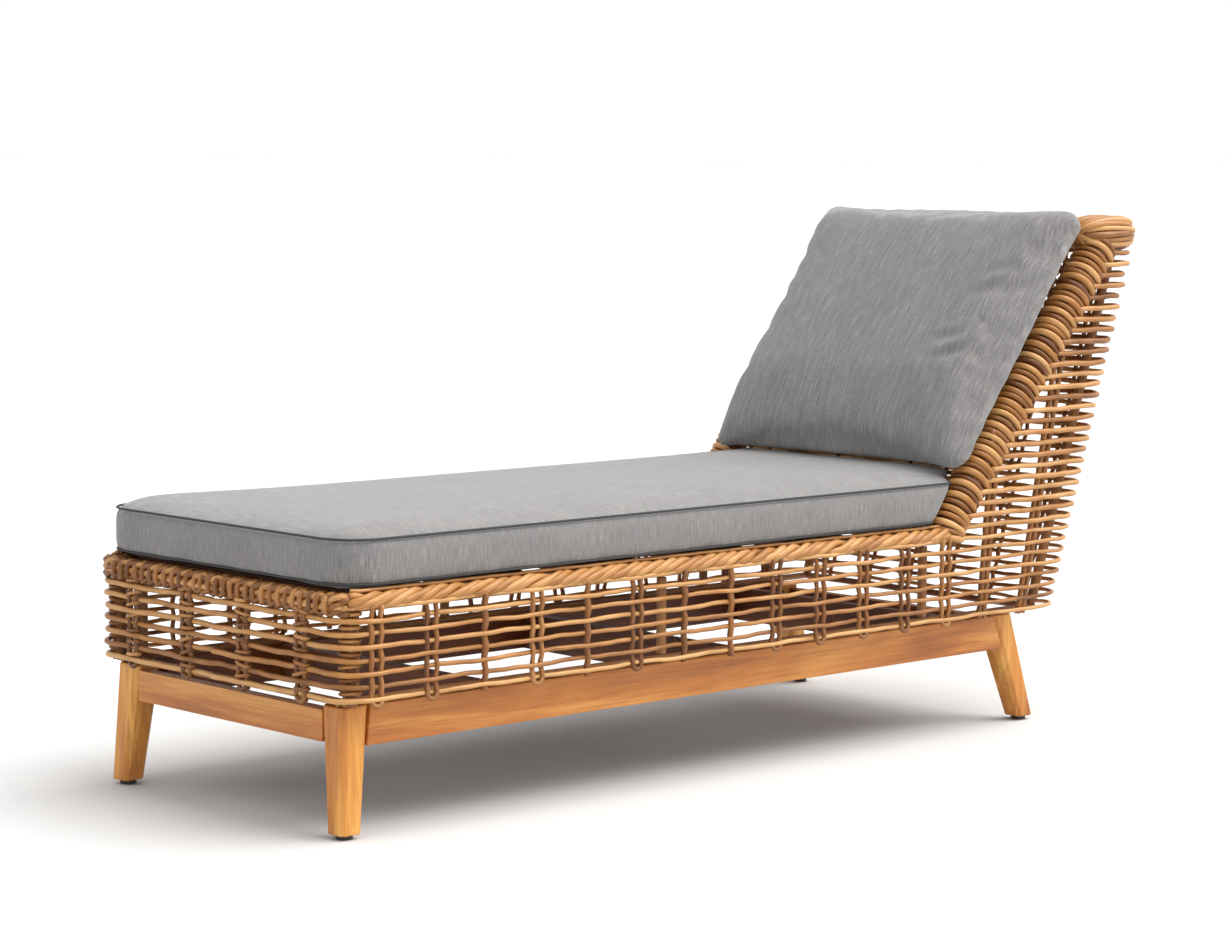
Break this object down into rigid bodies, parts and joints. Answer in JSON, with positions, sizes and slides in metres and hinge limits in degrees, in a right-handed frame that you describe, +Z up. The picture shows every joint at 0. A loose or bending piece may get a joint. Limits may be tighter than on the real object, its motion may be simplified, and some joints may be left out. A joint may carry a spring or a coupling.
{
  "type": "chaise longue",
  "caption": "Garden chaise longue: a low woven cane basket with a fixed winged back on a splayed teak base, with a loose seat cushion and a loose back cushion.",
  "frame": {"origin": "on the floor, under the middle of the overall box", "axes": "+X from the foot end towards the head end, +Y to the right side of a person lying on it, +Z up"},
  "size_m": [2.008, 0.72, 0.9907],
  "materials": {
    "cane": "round woven cane strands, tan with light highlights, satin",
    "fabric": "grey heathered linen-look weave with fine light slubs, near-black piping on the seat cushion",
    "teak": "orange-brown oiled hardwood, grain along the boards, satin",
    "inner_timber": "darker brown hardwood, satin",
    "glide": "black plastic"
  },
  "bodies": {
    "frame": {"back_post_left": "cane", "back_post_right": "cane", "back_weave": "cane", "base_pole_foot": "cane", "base_pole_head": "cane", "base_pole_left": "cane", "base_pole_right": "cane", "corner_block_foot_left": "inner_timber", "corner_block_foot_right": "inner_timber", "corner_block_head_left": "inner_timber", "corner_block_head_right": "inner_timber", "corner_weave_foot_left": "cane", "corner_weave_foot_right": "cane", "corner_weave_head_left": "cane", "corner_weave_head_right": "cane", "cross_bearer_foot": "inner_timber", "cross_bearer_head": "inner_timber", "cross_bearer_middle": "inner_timber", "deck_slat_1": "inner_timber", "deck_slat_2": "inner_timber", "deck_slat_3": "inner_timber", "deck_slat_4": "inner_timber", "deck_slat_5": "inner_timber", "deck_slat_6": "inner_timber", "foot_apron": "teak", "foot_weave": "cane", "glide_foot_left": "glide", "glide_foot_right": "glide", "glide_head_left": "glide", "glide_head_right": "glide", "head_apron": "teak", "inner_back_weave": "cane", "leg_foot_left": "teak", "leg_foot_right": "teak", "leg_head_left": "teak", "leg_head_right": "teak", "post_foot_left": "cane", "post_foot_right": "cane", "post_head_left": "cane", "post_head_right": "cane", "post_middle_left": "cane", "post_middle_right": "cane", "rim_braid_foot": "cane", "rim_braid_left": "cane", "rim_braid_right": "cane", "rim_pole_foot": "cane", "rim_pole_head": "cane", "rim_pole_left": "cane", "rim_pole_right": "cane", "side_rail_left": "teak", "side_rail_right": "teak", "side_weave_left": "cane", "side_weave_right": "cane", "top_rail": "cane", "wing_rail_left": "cane", "wing_rail_right": "cane", "wing_weave_left": "cane", "wing_weave_right": "cane"},
    "seat_cushion": {"seat_cushion": "fabric"},
    "back_cushion": {"back_cushion": "fabric"}
  },
  "joints": [
    {"name": "seat_cushion_lift", "type": "slide", "parent": "frame", "child": "seat_cushion", "axis": [0, 0, 1], "range_m": [0, 0.6]},
    {"name": "back_cushion_lift", "type": "slide", "parent": "seat_cushion", "child": "back_cushion", "axis": [0, 0, 1], "range_m": [0, 0.5]}
  ]
}
